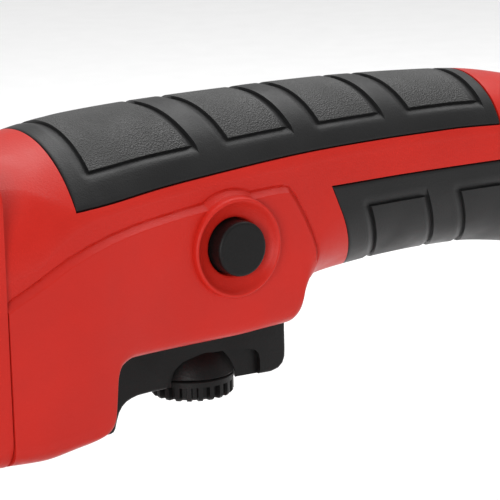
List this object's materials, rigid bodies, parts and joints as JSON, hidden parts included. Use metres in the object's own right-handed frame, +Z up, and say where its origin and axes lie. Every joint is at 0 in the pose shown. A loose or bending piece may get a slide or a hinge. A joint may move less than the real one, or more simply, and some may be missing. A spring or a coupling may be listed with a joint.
{
  "type": "twin-blade rescue saw",
  "caption": "Corded hand-held rescue saw with counter-rotating twin blades, steel guard, side handle and swan-neck rear grip with trigger.",
  "frame": {"origin": "mouth of the lower auxiliary-handle socket, on its axis", "axes": "+X rearwards along the motor, +Z up, blades on the +Y side"},
  "size_m": [0.4612, 0.1957, 0.166],
  "materials": {
    "red_housing": "fine-grained satin red nylon",
    "grip_rubber": "soft matt black overmould",
    "black_plastic": "satin black moulding",
    "cast_alloy": "bead-blasted casting",
    "steel": "zinc-plated",
    "gear_steel": "hardened, oiled",
    "blade_steel": "ground, brushed in rings",
    "guard_paint": "black powder coat",
    "lamination": "stacked sheet",
    "copper": "enamelled copper",
    "carbon": "graphite",
    "circuit_board": "lacquered board"
  },
  "bodies": {
    "housing": {"gear_head": "cast_alloy", "gear_head_cover": "cast_alloy", "cover_screws": "steel", "spindle_end_bearing": "steel", "sleeve_bearing": "steel", "pinion_bearing": "steel", "armature_bearing": "steel", "spindle_seal": "grip_rubber", "bearing_retainer": "steel", "spindle_lock_spring": "steel", "motor_housing": "red_housing", "stator_core": "lamination", "field_coils": "copper", "fan_baffle": "black_plastic", "brush_holders": "copper", "carbon_brushes": "carbon", "brush_caps": "black_plastic", "handle_shell_left": "red_housing", "handle_shell_right": "red_housing", "top_grip_pad": "grip_rubber", "lower_grip_pad": "grip_rubber", "handle_screws": "steel", "switch_module": "black_plastic", "trigger_spring": "steel", "lock_button_spring": "steel", "speed_control_board": "circuit_board", "noise_capacitor": "black_plastic", "terminal_block": "black_plastic", "cord_gland": "grip_rubber", "aux_handle_stud": "steel", "aux_handle_grip": "grip_rubber"},
    "trigger": {"trigger": "black_plastic"},
    "speed_dial": {"speed_dial": "black_plastic"},
    "lock_button": {"lock_button": "black_plastic"},
    "spindle_lock": {"spindle_lock_button": "black_plastic"},
    "rotor": {"armature_shaft": "steel", "armature_core": "lamination", "armature_windings": "copper", "commutator": "copper", "cooling_fan": "black_plastic", "bevel_pinion": "gear_steel"},
    "outer_drive": {"inner_spindle": "steel", "far_bevel_gear": "gear_steel", "outer_blade": "blade_steel", "clamp_flange": "steel", "blade_bolt": "steel"},
    "inner_drive": {"sleeve_spindle": "steel", "near_bevel_gear": "gear_steel", "inner_blade": "blade_steel", "inner_blade_screws": "steel"},
    "guard": {"blade_guard": "guard_paint", "guard_collar": "guard_paint", "guard_clamp_bolt": "steel", "guard_lever_pin": "steel"},
    "guard_lever": {"guard_lever": "black_plastic"}
  },
  "joints": [
    {"name": "trigger_press", "type": "slide", "parent": "housing", "child": "trigger", "axis": [0, 0, 1], "range_m": [0, 0.0055], "stiffness_N_per_m": 900, "springref_m": -0.004, "deforming": ["trigger_spring"]},
    {"name": "dial_turn", "type": "hinge", "parent": "trigger", "child": "speed_dial", "pos_m": [0.2138, 0, 0.004], "axis": [0, 0, 1], "range_deg": [0, 270]},
    {"name": "lock_on_press", "type": "slide", "parent": "housing", "child": "lock_button", "axis": [0, 1, 0], "range_m": [0, 0.0032], "stiffness_N_per_m": 600, "springref_m": -0.003, "deforming": ["lock_button_spring"]},
    {"name": "spindle_lock_press", "type": "slide", "parent": "housing", "child": "spindle_lock", "axis": [0, 0, -1], "range_m": [0, 0.0035], "stiffness_N_per_m": 700, "springref_m": -0.003, "deforming": ["spindle_lock_spring"]},
    {"name": "inner_blade_spin", "type": "hinge", "parent": "housing", "child": "inner_drive", "pos_m": [-0.03, 0, 0.032], "axis": [0, 1, 0], "continuous": true},
    {"name": "outer_blade_spin", "type": "hinge", "parent": "housing", "child": "outer_drive", "pos_m": [-0.03, 0, 0.032], "axis": [0, 1, 0], "continuous": true},
    {"name": "rotor_spin", "type": "hinge", "parent": "housing", "child": "rotor", "pos_m": [-0.03, 0, 0.032], "axis": [1, 0, 0], "continuous": true},
    {"name": "guard_turn", "type": "hinge", "parent": "housing", "child": "guard", "pos_m": [-0.03, 0, 0.032], "axis": [0, 1, 0], "range_deg": [-60, 60]},
    {"name": "guard_lever_open", "type": "hinge", "parent": "guard", "child": "guard_lever", "pos_m": [-0.0157, 0.0325, 0.061], "axis": [0, -1, 0], "range_deg": [0, 100]}
  ],
  "couplings": [
    {"joint": "outer_blade_spin", "follows": "inner_blade_spin", "ratio": -1},
    {"joint": "rotor_spin", "follows": "inner_blade_spin", "ratio": -2.4545}
  ]
}
